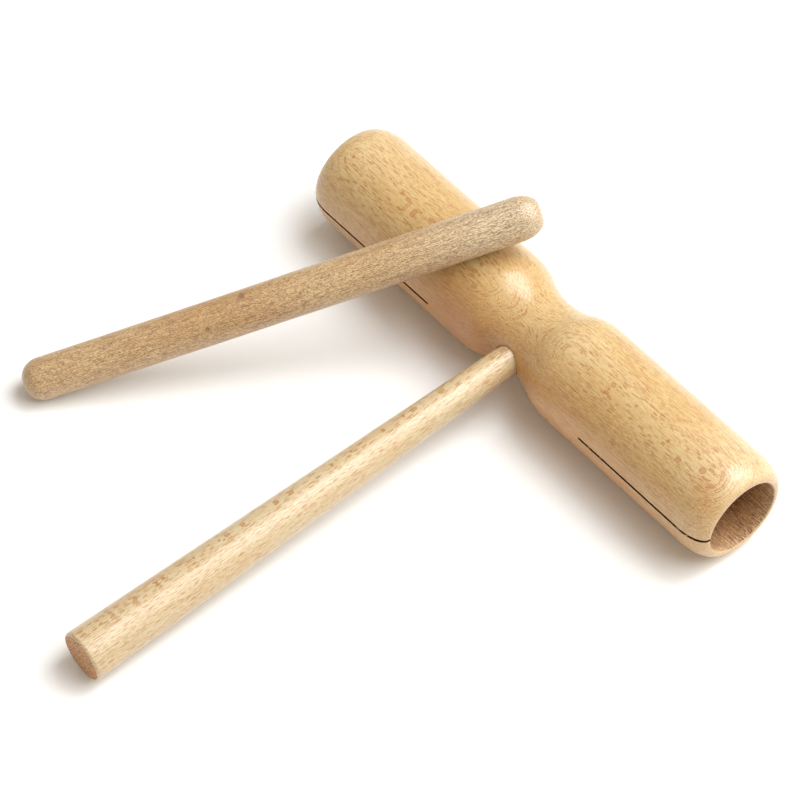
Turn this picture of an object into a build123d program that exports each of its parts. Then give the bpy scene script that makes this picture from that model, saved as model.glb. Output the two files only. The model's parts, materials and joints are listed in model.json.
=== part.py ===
"""Two-tone tubular wood block on a turned handle, with its loose beater.

One piece of beech is turned to two round tubes with a slim waist between them. Each tube is
bored from its own end, to its own depth, and sawn open along one side, so that the two ends
sound two notes. A tapered handle is glued into a hole in the waist, and a plain rounded stick
is the beater.

Millimetres, +Z up. The origin is where the tubes' axis meets the handle's axis. +X points out
of the high-toned mouth and the handle runs towards -Y. Everything lies on the level
Z = -tube_radius: the tubes on their sides, the handle on the rim of its butt, and the beater
with one end on that level and the other leaning across the top of the low-toned tube.
"""

import os
from math import asin, atan2, cos, degrees, hypot, radians, sin, sqrt, tan

from build123d import *

# Sound block, turned in one piece
tube_radius = 20.0
high_reach = 102.1  # from the handle's axis to the high-toned mouth
low_reach = 103.4  # and to the low-toned mouth
waist_radius = 15.3
waist_curve = 30.4  # radius of the hollow along the waist
shoulder_curve = 24.0  # radius of the swell from the waist up to each tube
mouth_round_length = 10.3  # each mouth is rounded over as a quarter ellipse
mouth_round_depth = 4.7

# Bores
bore_radius = 14.5
high_bore_bottom = 40.0  # both from the handle's axis
low_bore_bottom = 35.0
mouth_break = 0.3  # the sharp edge taken off each bore's rim

# Saw kerfs, each through one wall only
kerf_width = 1.0
kerf_depth = 7.5  # from the tube's outside, through its wall
saw_radius = 30.0  # the saw disc leaves its own curve at the blind end
high_kerf_start = 41.5  # blind end on the tube's outside, from the handle's axis
low_kerf_start = 36.8
high_kerf_offset = 0.6  # above the plane of the two axes
low_kerf_offset = -0.8
low_kerf_skew = 0.5  # degrees by which the low kerf wanders down towards its mouth

# Handle
handle_reach = 199.3  # from the tubes' axis to the face of the butt
butt_radius = 9.3
butt_round = 1.2
neck_radius = 5.5
taper_start = 16.5  # the taper begins just clear of the waist
tenon_tip = -2.0  # the tenon passes the tubes' axis by this much
tenon_chamfer = 0.8
glue_gap = 1.0  # beyond the tenon's tip

# Beater
beater_length = 189.4
low_end_radius = 7.65  # it is a little thinner at the end that lies on the level
high_end_radius = 7.95
low_end_round_length = 6.9  # each end is rounded over as a quarter ellipse
low_end_round_depth = 6.5
high_end_round_length = 8.6  # and the raised end keeps a small flat
high_end_round_depth = 5.3
beater_yaw = 61.85  # degrees from +X, seen from above
beater_pitch = 14.9  # degrees up from level
beater_crossing = -30.2  # X where it passes over the tubes' axis
beater_gap = 0.15  # least air between it and the tube that it leans on


def droop_angle():
    """Degrees below level of the handle when tubes and butt lie on one level."""
    along = handle_reach - butt_round
    out = butt_radius - butt_round
    drop = tube_radius - butt_round
    return degrees(asin(drop / hypot(along, out)) - atan2(out, along))


def leaning_plane():
    """Plane at the beater's low end with its Z axis up the stick."""
    yaw = radians(beater_yaw)
    pitch = radians(beater_pitch)
    up_the_stick = (cos(pitch) * cos(yaw), cos(pitch) * sin(yaw), sin(pitch))

    # height of its axis where it crosses the tubes' axis, from the distance between the two
    apart = tube_radius + high_end_radius + beater_gap
    crossing_height = apart * hypot(1, tan(pitch) / sin(yaw))

    # height of the low end's centre, from its lowest point touching the level below
    core = low_end_radius - low_end_round_depth
    bulge = hypot(low_end_round_depth * cos(pitch), low_end_round_length * sin(pitch))
    end_height = core * cos(pitch) + bulge - low_end_round_length * sin(pitch) - tube_radius

    along = (crossing_height - end_height) / sin(pitch)
    crossing = Vector(beater_crossing, 0, crossing_height)
    return Plane(
        origin=crossing - Vector(up_the_stick) * along,
        x_dir=(sin(yaw), -cos(yaw), 0),
        z_dir=up_the_stick,
    )


# The plane of the two axes. Its -Y direction is the handle's own.
axes_plane = Plane.XY.rotated((droop_angle(), 0, 0))
handle_axis = Axis(origin=(0, 0, 0), direction=-axes_plane.y_dir)

# The waist's hollow and each shoulder's swell meet on one tangent.
centres_apart = waist_radius + waist_curve + shoulder_curve - tube_radius
shoulder_reach = sqrt((waist_curve + shoulder_curve) ** 2 - centres_apart**2)
waist_angle = degrees(atan2(shoulder_reach, centres_apart))

with BuildPart() as sound_block:
    # half outline, turned about the tubes' axis
    with BuildSketch():
        with BuildLine():
            hollow = CenterArc(
                (0, waist_radius + waist_curve),
                waist_curve,
                start_angle=-90 - waist_angle,
                arc_size=2 * waist_angle,
            )
            low_swell = CenterArc(
                (-shoulder_reach, tube_radius - shoulder_curve),
                shoulder_curve,
                start_angle=90,
                arc_size=-waist_angle,
            )
            high_swell = CenterArc(
                (shoulder_reach, tube_radius - shoulder_curve),
                shoulder_curve,
                start_angle=90 + waist_angle,
                arc_size=-waist_angle,
            )
            low_round = EllipticalCenterArc(
                (mouth_round_length - low_reach, tube_radius - mouth_round_depth),
                mouth_round_length,
                mouth_round_depth,
                start_angle=180,
                arc_size=-90,
            )
            high_round = EllipticalCenterArc(
                (high_reach - mouth_round_length, tube_radius - mouth_round_depth),
                mouth_round_length,
                mouth_round_depth,
                start_angle=90,
                arc_size=-90,
            )
            Line(low_round @ 1, low_swell @ 0)
            Line(high_swell @ 1, high_round @ 0)
            Polyline(high_round @ 1, (high_reach, 0), (-low_reach, 0), low_round @ 0)
        make_face()
    revolve(axis=Axis.X)

    # a flat-bottomed bore in from each mouth, its rim eased
    for out, bottom, mouth in ((1, high_bore_bottom, high_reach), (-1, low_bore_bottom, low_reach)):
        with BuildSketch(Plane(origin=(out * bottom, 0, 0), z_dir=(out, 0, 0))):
            Circle(bore_radius)
        extrude(amount=mouth - bottom, mode=Mode.SUBTRACT)
        rim = sound_block.edges().filter_by(GeomType.CIRCLE)
        rim = rim.filter_by_position(Axis.X, out * mouth - mouth_break, out * mouth + mouth_break)
        chamfer(rim.sort_by(SortBy.RADIUS)[0], mouth_break)

    # one kerf along each tube, on the handle's side
    kerfs = (
        (1, high_kerf_start, high_reach, high_kerf_offset, 0),
        (-1, low_kerf_start, low_reach, low_kerf_offset, low_kerf_skew),
    )
    for out, start, mouth, offset, skew in kerfs:
        sink = saw_radius - kerf_depth
        full_depth_from = start + sqrt(saw_radius**2 - sink**2)
        hinge = axes_plane.offset(offset)
        hinge.origin += Vector(out * start, 0, 0)
        with BuildSketch(hinge.rotated((0, out * skew, 0))):
            with Locations((out * (full_depth_from - start), -tube_radius - sink)):
                Circle(saw_radius)
            with Locations((out * (full_depth_from - start), kerf_depth - tube_radius)):
                Rectangle(
                    mouth - full_depth_from + kerf_depth,
                    2 * kerf_depth,
                    align=(Align.MIN if out > 0 else Align.MAX, Align.MAX),
                )
        extrude(amount=kerf_width / 2, both=True, mode=Mode.SUBTRACT)

    # the handle's socket, blind
    with BuildSketch(Plane(origin=(0, 0, 0), z_dir=handle_axis.direction).offset(tenon_tip - glue_gap)):
        Circle(neck_radius)
    extrude(amount=tube_radius, mode=Mode.SUBTRACT)

with BuildPart() as handle:
    # half outline along the handle's axis, turned about it
    with BuildSketch(Plane(origin=(0, 0, 0), x_dir=handle_axis.direction, z_dir=axes_plane.z_dir)):
        with BuildLine():
            butt_edge = CenterArc(
                (handle_reach - butt_round, butt_radius - butt_round),
                butt_round,
                start_angle=90,
                arc_size=-90,
            )
            Polyline(
                butt_edge @ 1,
                (handle_reach, 0),
                (tenon_tip, 0),
                (tenon_tip, neck_radius - tenon_chamfer),
                (tenon_tip + tenon_chamfer, neck_radius),
                (taper_start, neck_radius),
                butt_edge @ 0,
            )
        make_face()
    revolve(axis=handle_axis)

with BuildPart() as beater:
    # half outline up the stick, turned about it
    stick = leaning_plane()
    with BuildSketch(Plane(origin=stick.origin, x_dir=stick.z_dir, z_dir=-stick.x_dir)):
        with BuildLine():
            low_end = EllipticalCenterArc(
                (low_end_round_length, low_end_radius - low_end_round_depth),
                low_end_round_length,
                low_end_round_depth,
                start_angle=180,
                arc_size=-90,
            )
            high_end = EllipticalCenterArc(
                (beater_length - high_end_round_length, high_end_radius - high_end_round_depth),
                high_end_round_length,
                high_end_round_depth,
                start_angle=90,
                arc_size=-90,
            )
            Line(low_end @ 1, high_end @ 0)
            Polyline(high_end @ 1, (beater_length, 0), (0, 0), low_end @ 0)
        make_face()
    revolve(axis=Axis(origin=stick.origin, direction=stick.z_dir))

sound_block.part.label = "sound_block"
handle.part.label = "handle"
beater.part.label = "beater"

os.makedirs("parts", exist_ok=True)
export_step(sound_block.part, "parts/sound_block.step")
export_step(handle.part, "parts/handle.step")
export_step(beater.part, "parts/beater.step")
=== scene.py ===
"""Looks of the two-tone wood block and its beater, on a white studio sweep.

Blender works in metres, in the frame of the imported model: X along the tubes, the handle towards -Y,
everything lying on one level below the origin. Sizes of the wood are written in millimetres.
"""

import json
import random
from math import asin, cos, hypot, pi, radians, sin, sqrt

import bmesh
import bpy
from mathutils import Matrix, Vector, noise


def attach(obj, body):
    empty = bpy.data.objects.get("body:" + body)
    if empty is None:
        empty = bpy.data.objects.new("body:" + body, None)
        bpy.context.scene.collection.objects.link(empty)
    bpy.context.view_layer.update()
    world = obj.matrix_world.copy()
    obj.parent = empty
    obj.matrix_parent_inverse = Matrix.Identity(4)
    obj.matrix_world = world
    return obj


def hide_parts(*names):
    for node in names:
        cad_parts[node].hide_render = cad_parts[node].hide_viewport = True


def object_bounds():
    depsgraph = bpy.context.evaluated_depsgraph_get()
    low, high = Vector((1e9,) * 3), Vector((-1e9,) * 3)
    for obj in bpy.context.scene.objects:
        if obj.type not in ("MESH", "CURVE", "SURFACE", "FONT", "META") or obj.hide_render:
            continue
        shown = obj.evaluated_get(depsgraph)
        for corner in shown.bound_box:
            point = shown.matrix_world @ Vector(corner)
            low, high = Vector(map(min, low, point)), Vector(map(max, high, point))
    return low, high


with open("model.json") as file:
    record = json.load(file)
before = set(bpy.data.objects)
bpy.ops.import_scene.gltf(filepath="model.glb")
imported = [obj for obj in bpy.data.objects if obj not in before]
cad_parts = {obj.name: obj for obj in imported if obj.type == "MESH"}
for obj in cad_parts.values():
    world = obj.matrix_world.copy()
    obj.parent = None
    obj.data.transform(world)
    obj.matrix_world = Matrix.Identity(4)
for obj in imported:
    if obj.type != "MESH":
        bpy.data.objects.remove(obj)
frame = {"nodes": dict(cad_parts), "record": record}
cad_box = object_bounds()

MM = 0.001
X = Vector((1, 0, 0))
Z = Vector((0, 0, 1))
ORIGIN = Vector((0, 0, 0))

# the block: two tubes with a waist between them
TUBE = 20.0
BORE = 14.5
WAIST = 15.3
WAIST_CURVE = 30.4
SHOULDER_CURVE = 24.0
MOUTH_ROUND = (10.3, 4.7)
RIM_BREAK = 0.3
HIGH_REACH, HIGH_BOTTOM = 102.1, 40.0
LOW_REACH, LOW_BOTTOM = 103.4, 35.0
SOCKET = 5.72

# the saw kerf along each tube
SAW_RADIUS = 30.0
SAW_DEPTH = 7.5
KERF_WIDTH = 1.0
KERF_RAGGED = 0.10
HIGH_KERF_START, HIGH_KERF_OFFSET, HIGH_KERF_SKEW = 41.5, 0.6, 0.0
LOW_KERF_START, LOW_KERF_OFFSET, LOW_KERF_SKEW = 36.8, -0.8, 0.5

# the handle, measured from the tubes' axis
TENON_END = -2.0
NECK = 5.5
TAPER_START = 16.5
BUTT = 9.3
BUTT_END = 199.3

# the beater
BEATER_TURN, BEATER_RISE = 61.85, 14.9
BEATER_LENGTH = 189.4
BEATER_LOW, BEATER_HIGH = 7.65, 7.95


def axis_of(name):
    """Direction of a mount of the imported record."""
    found = next(m for m in frame["record"]["mounts"] if m["name"] == name)
    return Vector(found["axis"]).normalized()


along_handle = axis_of("butt")
floor_level = cad_box[0][2]


# ---------------------------------------------------------------- shader nodes

class Nodes:
    """Short calls for building one material's node tree."""

    def __init__(self, name):
        self.material = bpy.data.materials.new(name)
        self.material.use_nodes = True
        self.tree = self.material.node_tree
        self.tree.nodes.clear()

    def add(self, kind, settings=None, **inputs):
        node = self.tree.nodes.new(kind)
        for key, value in (settings or {}).items():
            setattr(node, key, value)
        for key, value in inputs.items():
            self.feed(node, key.replace("_", " "), value)
        return node

    def feed(self, node, key, value):
        """Links a value to an input, or sets it there. The key is the input's name or its number."""
        socket = node.inputs[int(key)] if key.isdigit() else node.inputs[key]
        if isinstance(value, bpy.types.NodeSocket):
            self.tree.links.new(value, socket)
        else:
            socket.default_value = value

    def math(self, operation, *values):
        node = self.add("ShaderNodeMath", {"operation": operation})
        for i, value in enumerate(values):
            self.feed(node, str(i), value)
        return node.outputs[0]

    def vector_math(self, operation, first, second):
        node = self.add("ShaderNodeVectorMath", {"operation": operation})
        self.feed(node, "0", first)
        self.feed(node, "1", tuple(second))
        return node

    def dot(self, vector, direction):
        return self.vector_math("DOT_PRODUCT", vector, direction).outputs["Value"]

    def distance(self, point, spot):
        return self.vector_math("DISTANCE", point, spot).outputs["Value"]

    def stretched(self, coordinates, cell):
        """Coordinates in millimetres, divided so that one unit is one cell of that size."""
        return self.vector_math("DIVIDE", coordinates, cell).outputs[0]

    def shifted(self, coordinates, shift):
        return self.vector_math("ADD", coordinates, (shift, shift, shift)).outputs[0]

    def vector(self, x, y, z):
        node = self.add("ShaderNodeCombineXYZ")
        for i, value in enumerate((x, y, z)):
            self.feed(node, str(i), value)
        return node.outputs[0]

    def noise(self, coordinates, cell, detail, roughness, shift):
        node = self.add("ShaderNodeTexNoise", {"noise_dimensions": "3D"}, Scale=1.0)
        self.feed(node, "Vector", self.shifted(self.stretched(coordinates, cell), shift))
        self.feed(node, "Detail", detail)
        self.feed(node, "Roughness", roughness)
        return node.outputs[0]

    def band(self, value, low, high, out_low=0.0, out_high=1.0):
        """Smooth step of value from low to high."""
        node = self.add("ShaderNodeMapRange", {"interpolation_type": "SMOOTHSTEP"}, Value=value)
        self.feed(node, "From Min", low)
        self.feed(node, "From Max", high)
        self.feed(node, "To Min", out_low)
        self.feed(node, "To Max", out_high)
        return node.outputs["Result"]

    def mix(self, factor, first, second, blend="MIX"):
        node = self.add("ShaderNodeMix", {"data_type": "RGBA", "blend_type": blend})
        for index, item in ((0, factor), (6, first), (7, second)):
            self.feed(node, str(index), item)
        return node.outputs[2]


def colour(red, green, blue, part=1.0):
    """Linear colour from one as seen on a screen, 0 to 255, darkened to that part of it."""
    parts = []
    for value in (red, green, blue):
        value = value * part / 255
        parts.append(value / 12.92 if value <= 0.04045 else ((value + 0.055) / 1.055) ** 2.4)
    return (*parts, 1.0)


# ---------------------------------------------------------------- wood

def wood_space(n, grain, radial, seed, wander, knots):
    """Coordinates in millimetres along the grain, along the year rings and out from the heart.

    Gives the object's own normals, straight coordinates, the same gently wandering, and how near a
    point is to the middle of a knot. The grain swells around each knot.
    """
    place = n.add("ShaderNodeTexCoord")
    scaled = n.add("ShaderNodeVectorMath", {"operation": "SCALE"}, Scale=1 / MM)
    n.feed(scaled, "0", place.outputs["Object"])
    point = scaled.outputs[0]
    g = n.dot(point, grain)
    t = n.dot(point, grain.cross(radial))
    r = n.dot(point, radial)
    straight = n.vector(g, t, r)
    t = n.math("MULTIPLY_ADD", n.noise(straight, (60, 18, 18), 1.0, 0.5, seed), wander, t)
    r = n.math("MULTIPLY_ADD", n.noise(straight, (50, 16, 16), 1.0, 0.5, seed + 9), wander, r)
    heart = 0.0
    for spot, size in knots:
        away = n.distance(point, spot / MM)
        t = n.math("MULTIPLY_ADD", n.band(away, 0.0, size * 3.2, 1.0, 0.0), size * 1.1, t)
        heart = n.math("MAXIMUM", heart, n.band(away, size * 0.2, size, 1.0, 0.0))
    return place.outputs["Normal"], straight, n.vector(g, t, r), heart


def rays(n, wood, cell, size, kept, edge, shift):
    """Rays of beech: thin lens shapes standing radially, one in some of the cells.

    The result is 1 inside a ray. Its rim is stronger than its face by the amount edge.
    """
    cells = n.add("ShaderNodeTexVoronoi", {"voronoi_dimensions": "3D", "feature": "F1"}, Scale=1.0)
    n.feed(cells, "Vector", n.shifted(n.stretched(wood, cell), shift))
    luck = n.add("ShaderNodeSeparateColor")
    n.feed(luck, "0", cells.outputs["Color"])
    reach = n.math("MULTIPLY_ADD", luck.outputs[0], size * 0.45, size * 0.55)
    inside = n.math("SUBTRACT", reach, cells.outputs["Distance"])
    body = n.band(inside, 0.0, size * 0.18)
    rim = n.band(inside, size * 0.12, size * 0.42, 1.0, 1.0 - edge)
    there = n.band(luck.outputs[1], 1 - kept, 1 - kept * 0.8)
    return n.math("MULTIPLY", n.math("MULTIPLY", body, rim), there)


def figure_of(n, straight, wood, seed, speck_cell):
    """What the wood is made of: rays from the side and end on, fibres, growth lines, pores, clouds."""
    speck_length, speck_width = speck_cell
    return {
        "broad": rays(n, wood, (3.0, 0.16, 20.0), 0.50, 0.8, 0.4, seed + 3.4),
        "dash": rays(n, wood, (3.8, 0.24, 0.42), 0.46, 0.36, 0.0, seed + 5.0),
        "fibre": n.noise(wood, (5.0, 0.17, 0.17), 2.0, 0.6, seed + 1.0),
        "line": n.noise(wood, (12.0, 1.1, 0.26), 2.0, 0.55, seed + 8.0),
        "speck": n.noise(wood, (speck_length, speck_width, speck_width), 2.0, 0.6, seed + 2.0),
        "cloud": n.noise(straight, (40.0, 10.0, 10.0), 2.0, 0.5, seed + 4.0),
    }


def stained(n, tone, straight, grain, radial, stains_and_light):
    """The tone with soft patches, wood stains and painted light and shade. Each has a middle, a reach along
    and across, a strength, a tint.
    """
    for spot, along, across, amount, tint in stains_and_light:
        cell = (along, across, across)
        middle = (spot.dot(grain), spot.dot(grain.cross(radial)), spot.dot(radial))
        middle = [way / MM / size for way, size in zip(middle, cell)]
        away = n.distance(n.stretched(straight, cell), middle)
        tone = n.mix(n.band(away, 0.0, 1.0, amount, 0.0), tone, colour(*tint))
    return tone


def marked(n, tone, figure, marks, fleck):
    """The tone with the wood's dark marks over it, each as strong as marks says."""
    ray_mark, dash_mark, line_mark, fibre_mark, speck_mark = marks
    tone = n.mix(n.band(figure["fibre"], 0.50, 0.64, 0.0, fibre_mark), tone, colour(*fleck))
    tone = n.mix(n.band(figure["line"], 0.54, 0.64, 0.0, line_mark), tone, colour(*fleck))
    tone = n.mix(n.band(figure["speck"], 0.46, 0.62, 0.0, speck_mark), tone, colour(*fleck))
    tone = n.mix(n.math("MULTIPLY", figure["dash"], dash_mark), tone, colour(*fleck, 0.94))
    return n.mix(n.math("MULTIPLY", figure["broad"], ray_mark), tone, colour(*fleck))


def deepened(n, tone, straight, bore_shade):
    """Painted shade: the tone darker further into a bore, by the way along the tubes from their middle."""
    near_mouth, far_in, tint = bore_shade
    way = n.math("ABSOLUTE", n.dot(straight, X))
    shade_part = n.band(way, far_in, near_mouth, 1.0, 0.0)
    return n.mix(shade_part, tone, n.mix(1.0, tone, colour(*tint), "MULTIPLY"))


def end_grained(n, tone, normal, straight, grain, seed, tan, fleck, amount):
    """The tone with end grain where the surface is cut across, darker and with its pores showing."""
    facing = n.math("ABSOLUTE", n.dot(normal, grain))
    pores = n.noise(straight, (6.0, 0.45, 0.45), 3.0, 0.7, seed + 6.0)
    end_tone = n.mix(n.band(pores, 0.42, 0.56), colour(*tan), colour(*fleck, 0.85))
    return n.mix(n.band(facing, 0.6, 0.97, 0.0, amount), tone, end_tone)


def relief(n, figure):
    """Fine bumps: fibres, pores and rays are sunk a little."""
    height = n.math("MULTIPLY_ADD", figure["fibre"], -1.0, n.math("MULTIPLY", figure["broad"], -0.4))
    height = n.math("MULTIPLY_ADD", figure["speck"], -0.8, height)
    bump = n.add("ShaderNodeBump", Strength=0.5, Distance=0.07 * MM)
    n.feed(bump, "Height", height)
    return bump.outputs[0]


def surface(n, tone, figure, finish):
    """The wood's shader: a clear coat's weight and roughness, and the bare wood's roughness."""
    coat, coat_roughness, roughness = finish
    shader = n.add("ShaderNodeBsdfPrincipled", IOR=1.5, Coat_Weight=coat, Coat_Roughness=coat_roughness)
    n.feed(shader, "Base Color", tone)
    n.feed(shader, "Normal", relief(n, figure))
    n.feed(shader, "Roughness", n.band(figure["fibre"], 0.3, 0.7, roughness - 0.04, roughness + 0.06))
    output = n.add("ShaderNodeOutputMaterial")
    n.feed(output, "Surface", shader.outputs[0])


def beech(
    name,
    grain,
    radial,
    seed,
    tones,
    finish,
    marks,
    end_grain,
    wander=2.0,
    speck_cell=(0.9, 0.2),
    knots=(),
    stains_and_light=(),
    bore_shade=None,
):
    """Beech as a solid block: pale ground, rays as thin radial lenses, fine dark fibre lines.

    tones are the pale and tan of the ground and the dark of its marks. marks are the strengths of
    broad rays, dashes, growth lines, fibres and pores.
    """
    pale, tan, fleck = tones
    n = Nodes(name)
    grain = grain.normalized()
    radial = (radial - radial.dot(grain) * grain).normalized()
    normal, straight, wood, heart = wood_space(n, grain, radial, seed, wander, knots)
    figure = figure_of(n, straight, wood, seed, speck_cell)
    tone = n.mix(n.band(figure["cloud"], 0.3, 0.7), colour(*pale), colour(*tan))
    tone = stained(n, tone, straight, grain, radial, stains_and_light)
    tone = marked(n, tone, figure, marks, fleck)
    # painted shade deeper into the bores
    if bore_shade:
        tone = deepened(n, tone, straight, bore_shade)
    if knots:
        tone = n.mix(n.math("MULTIPLY", heart, 0.75), tone, colour(*fleck, 0.8))
    tone = end_grained(n, tone, normal, straight, grain, seed, tan, fleck, end_grain)
    surface(n, tone, figure, finish)
    return n.material


block_radial = Vector((0, sin(radians(70)), cos(radians(70))))
handle_radial = Vector((0.97, 0, 0.24))


def stain(place, along, across, amount, tint):
    """A soft patch in the block, its middle in millimetres. Some are the wood's own stains, some are
    painted light and painted shade.
    """
    return Vector(place) * MM, along, across, amount, tint


def block_wood():
    """Lacquered outside of the block, with painted light making its ends and waist top paler and painted
    shade making its lower side darker.
    """
    painted_end_light = (226, 209, 168)
    return beech(
        "block_beech",
        X,
        block_radial,
        seed=3.0,
        tones=((206, 181, 128), (203, 173, 116), (164, 104, 48)),
        finish=(0.68, 0.18, 0.5),
        marks=(0.8, 0.75, 0.42, 0.5, 0.25),
        end_grain=0.25,
        stains_and_light=(
            # painted light: the upper sides of both tube ends made paler, as the lamps light them
            stain((96, 6, 12), 32, 34, 0.7, painted_end_light),
            stain((-97, 6, 12), 32, 34, 0.4, painted_end_light),
            # painted light: the waist's top made paler, as the lamps light it
            stain((16, 0, 12), 30, 23, 0.6, (217, 199, 152)),
            # painted shade: the whole lower front side made darker and more orange, as shade with warm
            # light bounced up from the floor
            stain((0, -20, -10), 170, 34, 1.0, (204, 144, 72)),
            stain((-24, -16, 2), 24, 20, 0.7, (190, 124, 56)),
            # painted light: the near mouth's lower lip made paler, as light falls on it
            stain((101, -5, -16), 8, 17, 0.9, (238, 204, 152)),
            stain((95, -12, 15), 9, 9, 0.4, (194, 140, 84)),
        ),
    )


def bore_wood():
    """Bare wood of the bores, with painted light making them paler at the mouths and painted shade making
    them darker further in.
    """
    painted_lip_light = (246, 222, 184)
    return beech(
        "bore_beech",
        X,
        block_radial,
        seed=8.0,
        tones=((222, 184, 136), (212, 170, 120), (120, 70, 42)),
        finish=(0.0, 0.5, 0.62),
        marks=(0.5, 0.9, 0.6, 0.7, 0.7),
        end_grain=0.0,
        # painted shade: darker further into the bores, as little light reaches in
        bore_shade=(101.0, 84.0, (222, 205, 196)),
        stains_and_light=(
            # painted light: the bores' lips made paler, as light falls into the mouths
            stain((102.5, 0, 0), 5, 40, 0.9, painted_lip_light),
            stain((-103.8, 0, 0), 5, 40, 0.9, painted_lip_light),
        ),
    )


def kerf_wood():
    """Dark sides of the saw kerfs, partly the saw's scorch and partly painted shade of the narrow slit."""
    return beech(
        "kerf_beech",
        X,
        block_radial,
        seed=9.0,
        # the dark tones are partly the saw's scorch and partly painted shade of the narrow slit
        tones=((84, 50, 30), (70, 38, 22), (40, 20, 12)),
        finish=(0.0, 0.5, 0.7),
        marks=(0.3, 0.5, 0.5, 0.5, 0.5),
        end_grain=0.0,
    )


def handle_wood():
    """Lacquered side of the handle, with strong dashes."""
    return beech(
        "handle_beech",
        along_handle,
        handle_radial,
        seed=17.0,
        tones=((205, 191, 157), (203, 183, 145), (166, 114, 54)),
        finish=(0.68, 0.28, 0.45),
        marks=(0.95, 1.0, 0.2, 0.5, 0.2),
        end_grain=0.0,
        wander=1.0,
    )


def butt_wood():
    """Bare end grain on the handle's butt."""
    return beech(
        "butt_beech",
        along_handle,
        handle_radial,
        seed=18.0,
        tones=((224, 178, 128), (224, 172, 122), (158, 100, 56)),
        finish=(0.0, 0.5, 0.6),
        marks=(0.8, 0.9, 0.3, 0.8, 0.3),
        end_grain=1.0,
        wander=1.0,
    )


# ---------------------------------------------------------------- the beater's place and wood

def beater_direction():
    """Direction of the beater, from its low end to its high end."""
    turn, rise = radians(BEATER_TURN), radians(BEATER_RISE)
    return Vector((cos(rise) * cos(turn), cos(rise) * sin(turn), sin(rise)))


up_beater = beater_direction()
beater_top = (Z - Z.dot(up_beater) * up_beater).normalized()
beater_side = up_beater.cross(beater_top)


def beater_low_end():
    """Middle of the beater's low end, from its CAD shape."""
    points = [v.co for v in frame["nodes"]["beater"].data.vertices]
    spans = []
    for direction in (up_beater, beater_top, beater_side):
        ways = [p.dot(direction) for p in points]
        spans.append((min(ways), max(ways)))
    middle = [(low + high) / 2 for low, high in spans]
    return spans[0][0] * up_beater + middle[1] * beater_top + middle[2] * beater_side


low_end = beater_low_end()


def on_beater(way, turn):
    """A point of the beater's skin, way up from its low end, turned from its top, in mm and degrees."""
    skin = 7.8
    out = cos(radians(turn)) * beater_top + sin(radians(turn)) * beater_side
    return low_end + (way * up_beater + skin * out) * MM


def beater_wood():
    """Wood with a duller coat, coarse pores and three knots, its high end paler as a painted highlight."""
    return beech(
        "beater_beech",
        up_beater,
        Z,
        seed=29.0,
        tones=((216, 188, 142), (206, 172, 124), (130, 90, 54)),
        finish=(0.9, 0.38, 0.6),
        marks=(0.3, 0.5, 0.3, 0.75, 0.85),
        end_grain=0.2,
        speck_cell=(0.9, 0.24),
        knots=((on_beater(82.5, -6), 2.0), (on_beater(68, 56), 1.3), (on_beater(150, 170), 1.8)),
        stains_and_light=(
            # painted highlight: the high end's top made paler
            (on_beater(178, 0), 45, 45, 0.8, (228, 214, 182)),
            (on_beater(72, 10), 38, 38, 0.7, (202, 164, 112)),
        ),
    )


# ---------------------------------------------------------------- turned shapes

def linked(name, data):
    """A new object in the scene with that data."""
    made = bpy.data.objects.new(name, data)
    bpy.context.scene.collection.objects.link(made)
    return made


def mesh_object(name, bm):
    """A new object of the bmesh, its faces all turned outwards."""
    bmesh.ops.recalc_face_normals(bm, faces=bm.faces)
    mesh = bpy.data.meshes.new(name)
    bm.to_mesh(mesh)
    bm.free()
    return linked(name, mesh)


def lathe(name, outline, origin, direction, segments, bend=None, uneven=0.0):
    """Quads around an axis. The outline is pairs of way along it and radius, in millimetres.

    bend moves a ring sideways by its way along. uneven is the most that sanding took off the radius.
    """
    lump_length = 0.022
    direction = direction.normalized()
    side = direction.orthogonal().normalized()
    other = direction.cross(side)
    bm = bmesh.new()
    rings = []
    for way, radius in ((way * MM, radius * MM) for way, radius in outline):
        centre = origin + direction * way
        if bend:
            centre = centre + bend(way)
        if radius < 1e-7:
            rings.append([bm.verts.new(centre)])
            continue
        ring = []
        for i in range(segments):
            turn = 2 * pi * i / segments
            out = cos(turn) * side + sin(turn) * other
            place = Vector((way / lump_length, 0, 0)) + out * 0.8 + direction * 7
            lump = 0.5 + 0.5 * noise.noise(place)
            ring.append(bm.verts.new(centre + (radius - uneven * MM * lump) * out))
        rings.append(ring)
    for first, second in zip(rings, rings[1:]):
        for i in range(segments):
            j = (i + 1) % segments
            if len(first) == 1:
                bm.faces.new((first[0], second[j], second[i]))
            elif len(second) == 1:
                bm.faces.new((first[i], first[j], second[0]))
            else:
                bm.faces.new((first[i], first[j], second[j], second[i]))
    return mesh_object(name, bm)


def arc(centre, radii, start, end, steps):
    """Points of an elliptical arc, angles in degrees."""
    points = []
    for i in range(steps + 1):
        angle = radians(start + (end - start) * i / steps)
        points.append((centre[0] + radii[0] * cos(angle), centre[1] + radii[1] * sin(angle)))
    return points


def spread(start, end, steps):
    """Points of a straight run, both ends among them."""
    return [
        (start[0] + (end[0] - start[0]) * i / steps, start[1] + (end[1] - start[1]) * i / steps)
        for i in range(steps + 1)
    ]


def merged(points):
    """The points in order, without repeats."""
    kept = [points[0]]
    for point in points[1:]:
        if hypot(point[0] - kept[-1][0], point[1] - kept[-1][1]) > 1e-6:
            kept.append(point)
    return kept


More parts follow.
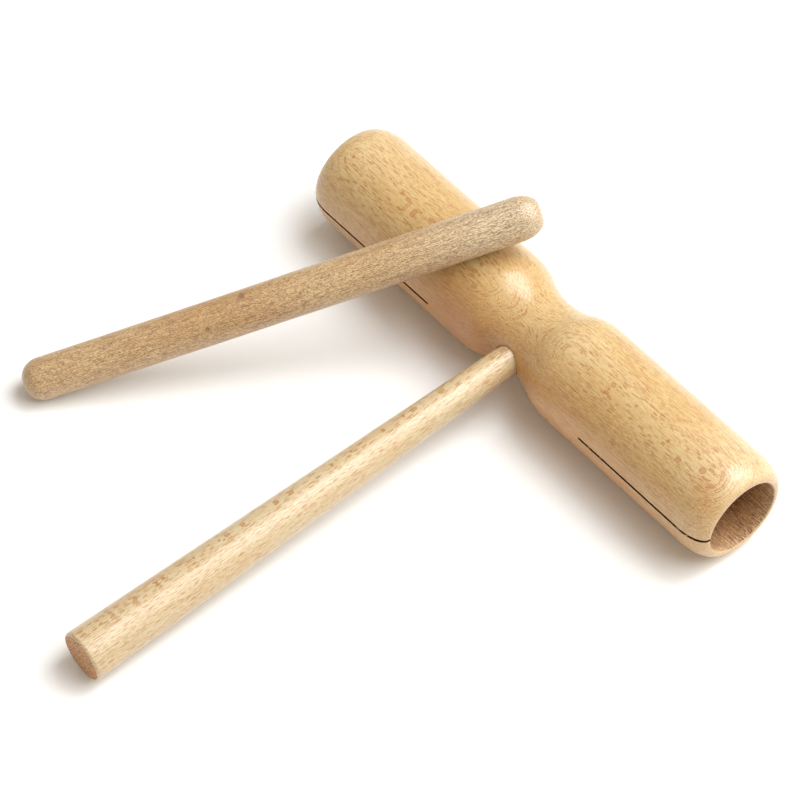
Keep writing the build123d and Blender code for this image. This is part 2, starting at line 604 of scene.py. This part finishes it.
def block_half(reach, bore_bottom):
    """Half outline from the middle of the waist out to a mouth and back to the bore's bottom."""
    straight_steps = 70
    round_length, round_depth = MOUTH_ROUND
    curves = WAIST_CURVE + SHOULDER_CURVE
    rise = WAIST + WAIST_CURVE - (TUBE - SHOULDER_CURVE)
    shoulder = sqrt(curves**2 - rise**2)
    angle = asin(shoulder / curves) * 180 / pi
    round_start = reach - round_length
    points = arc((0, WAIST + WAIST_CURVE), (WAIST_CURVE, WAIST_CURVE), -90, -90 + angle, 14)
    points += arc((shoulder, TUBE - SHOULDER_CURVE), (SHOULDER_CURVE, SHOULDER_CURVE), 90 + angle, 90, 12)
    points += spread((shoulder, TUBE), (round_start, TUBE), straight_steps)
    points += arc((round_start, TUBE - round_depth), (round_length, round_depth), 90, 0, 18)
    points += [(reach, BORE + RIM_BREAK), (reach - RIM_BREAK, BORE)]
    points += spread((reach - RIM_BREAK, BORE), (bore_bottom, BORE), straight_steps)
    points += [(bore_bottom, BORE * 0.5), (bore_bottom, 0.0)]
    return merged(points)


def saw_cutter(name, out, start, reach, offset, skew, seed):
    """The solid a saw takes away: a disc's run-out, then full depth to past the mouth."""
    draw = random.Random(seed)
    station, before, past_mouth, outside = 0.8, 1.0, 4, TUBE + 3.0
    sink = SAW_RADIUS - SAW_DEPTH
    full = start + sqrt(SAW_RADIUS**2 - sink**2)
    count = int((reach + past_mouth - start) / station)
    bm = bmesh.new()
    rows = []
    for x in [start - before + station * i for i in range(count)]:
        if x < full:
            inner = -TUBE - sink + sqrt(max(SAW_RADIUS**2 - (full - x) ** 2, 0.0))
        else:
            inner = SAW_DEPTH - TUBE
        low = offset - KERF_WIDTH / 2 - draw.uniform(0.0, KERF_RAGGED)
        high = offset + KERF_WIDTH / 2 + draw.uniform(0.0, KERF_RAGGED)
        slope = -(x - start) * sin(radians(skew))
        corners = [(-outside, low), (inner, low), (inner, high), (-outside, high)]
        rows.append([bm.verts.new(Vector((out * x, y, z + slope)) * MM) for y, z in corners])
    for first, second in zip(rows, rows[1:]):
        for i in range(4):
            j = (i + 1) % 4
            bm.faces.new((first[i], first[j], second[j], second[i]))
    bm.faces.new(rows[0])
    bm.faces.new(rows[-1])
    return mesh_object(name, bm)


def cut(piece, cutter):
    """Takes the cutter away from the piece, for good."""
    modifier = piece.modifiers.new("cut", "BOOLEAN")
    modifier.operation = "DIFFERENCE"
    modifier.solver = "EXACT"
    modifier.object = cutter
    bpy.context.view_layer.update()
    graph = bpy.context.evaluated_depsgraph_get()
    mesh = bpy.data.meshes.new_from_object(piece.evaluated_get(graph))
    piece.modifiers.clear()
    piece.data = mesh
    bpy.data.objects.remove(cutter)


def weld(piece):
    """Joins points that the cuts left in one place, and drops faces with no area."""
    near = 0.0005 * MM
    bm = bmesh.new()
    bm.from_mesh(piece.data)
    bmesh.ops.remove_doubles(bm, verts=bm.verts, dist=near)
    bmesh.ops.dissolve_degenerate(bm, edges=bm.edges, dist=near)
    bm.to_mesh(piece.data)
    bm.free()


def shade(piece):
    """Smooth shading, broken where faces meet sharply."""
    piece.data.shade_smooth()
    piece.data.set_sharp_from_angle(angle=radians(32))


def block_slot(face):
    """Which of the block's materials a face has: 0 outside, 1 in a bore, 2 in a kerf."""
    slack, kerf_zone = 0.1, 2.2
    centre = face.center / MM
    radius = hypot(centre.y, centre.z)
    past_bottom = centre.x > HIGH_BOTTOM - slack or centre.x < slack - LOW_BOTTOM
    if radius < BORE + 0.03 and past_bottom:
        return 1
    in_wall = centre.y < SAW_DEPTH - TUBE + slack and radius < TUBE - 0.01
    if abs(face.normal.z) > 0.9 and abs(centre.z) < kerf_zone and in_wall:
        return 2
    return 0


def make_block():
    """Both tubes and the waist in one turned shape, bored, sawn and drilled for the handle."""
    high = block_half(HIGH_REACH, HIGH_BOTTOM)
    low = block_half(LOW_REACH, LOW_BOTTOM)
    outline = [(-x, r) for x, r in reversed(low)] + high[1:]
    drill = [(-3, 0), (-3, SOCKET), (25, SOCKET), (25, 0)]
    block = lathe("wood_block", outline, ORIGIN, X, 180)
    high_saw = (HIGH_KERF_START, HIGH_REACH, HIGH_KERF_OFFSET, HIGH_KERF_SKEW)
    low_saw = (LOW_KERF_START, LOW_REACH, LOW_KERF_OFFSET, LOW_KERF_SKEW)
    cut(block, saw_cutter("high_saw", 1, *high_saw, seed=5))
    cut(block, saw_cutter("low_saw", -1, *low_saw, seed=6))
    cut(block, lathe("drill", drill, ORIGIN, along_handle, 64))
    weld(block)
    shade(block)
    mesh = block.data
    mesh.materials.clear()
    for material in (block_beech, bore_wood(), kerf_wood()):
        mesh.materials.append(material)
    for face in mesh.polygons:
        face.material_index = block_slot(face)
    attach(block, "block")
    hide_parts("sound_block")


def make_handle():
    """A rod that tapers to a straight neck, its butt edge eased."""
    tenon_edge, neck_start, butt_edge = 0.8, 2.0, 1.2
    taper_end = BUTT_END - butt_edge
    outline = [(TENON_END, 0.0), (TENON_END, NECK - tenon_edge), (TENON_END + tenon_edge, NECK)]
    outline += spread((neck_start, NECK), (TAPER_START, NECK), 8)
    outline += spread((TAPER_START, NECK), (taper_end, BUTT), 90)
    outline += arc((taper_end, BUTT - butt_edge), (butt_edge, butt_edge), 90, 0, 8)
    outline += [(BUTT_END, 6.0), (BUTT_END, 3.0), (BUTT_END, 0.0)]
    handle = lathe("handle_rod", merged(outline), ORIGIN, along_handle, 96, uneven=0.06)
    shade(handle)
    handle.data.materials.append(handle_wood())
    handle.data.materials.append(butt_wood())
    for face in handle.data.polygons:
        face.material_index = 1 if face.normal.dot(along_handle) > 0.9 else 0
    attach(handle, "block")
    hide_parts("handle")


def bow(way):
    """The beater's bend: down between the floor and where it crosses the tube, and up past it."""
    crossing, sag = 0.893, 1.3
    part = way / (BEATER_LENGTH * MM)
    return beater_top * (-sag * MM * part * (1 - part / crossing))


def make_beater():
    """A stick, a little bowed, with both ends rounded over."""
    low_length, low_depth = 6.9, 6.5
    high_length, high_depth = 8.6, 5.3
    high_start = BEATER_LENGTH - high_length
    outline = [(0.0, 0.0)]
    outline += arc((low_length, BEATER_LOW - low_depth), (low_length, low_depth), 180, 90, 16)
    outline += spread((low_length, BEATER_LOW), (high_start, BEATER_HIGH), 80)
    outline += arc((high_start, BEATER_HIGH - high_depth), (high_length, high_depth), 90, 0, 16)
    outline += [(BEATER_LENGTH, 0.0)]
    beater = lathe("beater_stick", merged(outline), low_end, up_beater, 96, bow, 0.08)
    shade(beater)
    beater.data.materials.append(beater_wood())
    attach(beater, "beater")
    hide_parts("beater")


def make_fibres():
    """Torn fibres left across the high tube's kerf."""
    data = bpy.data.curves.new("kerf_fibres", "CURVE")
    data.dimensions = "3D"
    data.bevel_depth = 0.16 * MM
    data.bevel_resolution = 2
    data.use_fill_caps = True
    span = 1.25
    for x, lean in ((47.6, 1.3), (53.2, 0.9), (92.0, 1.6), (95.5, 0.8)):
        spline = data.splines.new("POLY")
        spline.points.add(4)
        for i, point in enumerate(spline.points):
            part = i / 4 - 0.5
            z = HIGH_KERF_OFFSET + span * part
            y = -sqrt(TUBE**2 - z**2) + 0.45 - 0.3 * cos(pi * part)
            point.co = (*Vector((x + lean * part * 2, y, z)) * MM, 1.0)
            point.radius = 1.0 - abs(part)
    fibres = linked("kerf_fibres", data)
    data.materials.append(block_beech)
    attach(fibres, "block")


block_beech = block_wood()
make_handle()
make_beater()
make_fibres()
make_block()


# ---------------------------------------------------------------- stage

def sweep():
    """A white floor that reaches far past the picture."""
    half = 4.0
    mesh = bpy.data.meshes.new("floor")
    corners = [(x, y, floor_level) for x, y in ((-half, -half), (half, -half), (half, half), (-half, half))]
    mesh.from_pydata(corners, [], [(0, 1, 2, 3)])
    n = Nodes("floor_white")
    shader = n.add("ShaderNodeBsdfDiffuse", Color=(0.90, 0.915, 0.925, 1.0))
    output = n.add("ShaderNodeOutputMaterial")
    n.feed(output, "Surface", shader.outputs[0])
    mesh.materials.append(n.material)
    linked("floor", mesh)


def softbox(name, direction, distance, width, power):
    """A square area light aimed at the block, a little cool."""
    aim = Vector((0, -0.06, 0))
    data = bpy.data.lights.new(name, "AREA")
    data.shape = "SQUARE"
    data.size = width
    data.energy = power
    data.color = (0.97, 0.99, 1.0)
    light = linked(name, data)
    light.location = aim + Vector(direction).normalized() * distance
    light.rotation_euler = (aim - light.location).to_track_quat("-Z", "Y").to_euler()


def studio():
    """Warm light from all round, and two soft boxes above and behind: a small one and a wide one."""
    world = bpy.data.worlds.new("studio")
    world.use_nodes = True
    background = world.node_tree.nodes["Background"]
    background.inputs["Color"].default_value = (1.0, 0.89, 0.76, 1.0)
    background.inputs["Strength"].default_value = 0.52
    bpy.context.scene.world = world
    softbox("key", (0.10, 0.46, 0.87), 1.3, 0.66, 6.0)
    softbox("sky", (0.38, 0.44, 0.81), 1.6, 1.7, 33.0)


def camera():
    """The viewing angle, and a long lens from well away."""
    azimuth, elevation = radians(50.18), radians(51.23)
    distance = 1.2277
    target = Vector((-0.01575, -0.05026, floor_level + 0.010))
    back = Vector((sin(azimuth) * cos(elevation), -cos(azimuth) * cos(elevation), sin(elevation)))
    data = bpy.data.cameras.new("camera")
    data.lens = 160.1
    data.sensor_width = 36.0
    data.clip_start = 0.05
    data.clip_end = 20.0
    view = linked("camera", data)
    view.location = target + back * distance
    view.rotation_euler = (-back).to_track_quat("-Z", "Y").to_euler()
    bpy.context.scene.camera = view


sweep()
studio()
camera()
bpy.context.scene.view_settings.view_transform = "Standard"
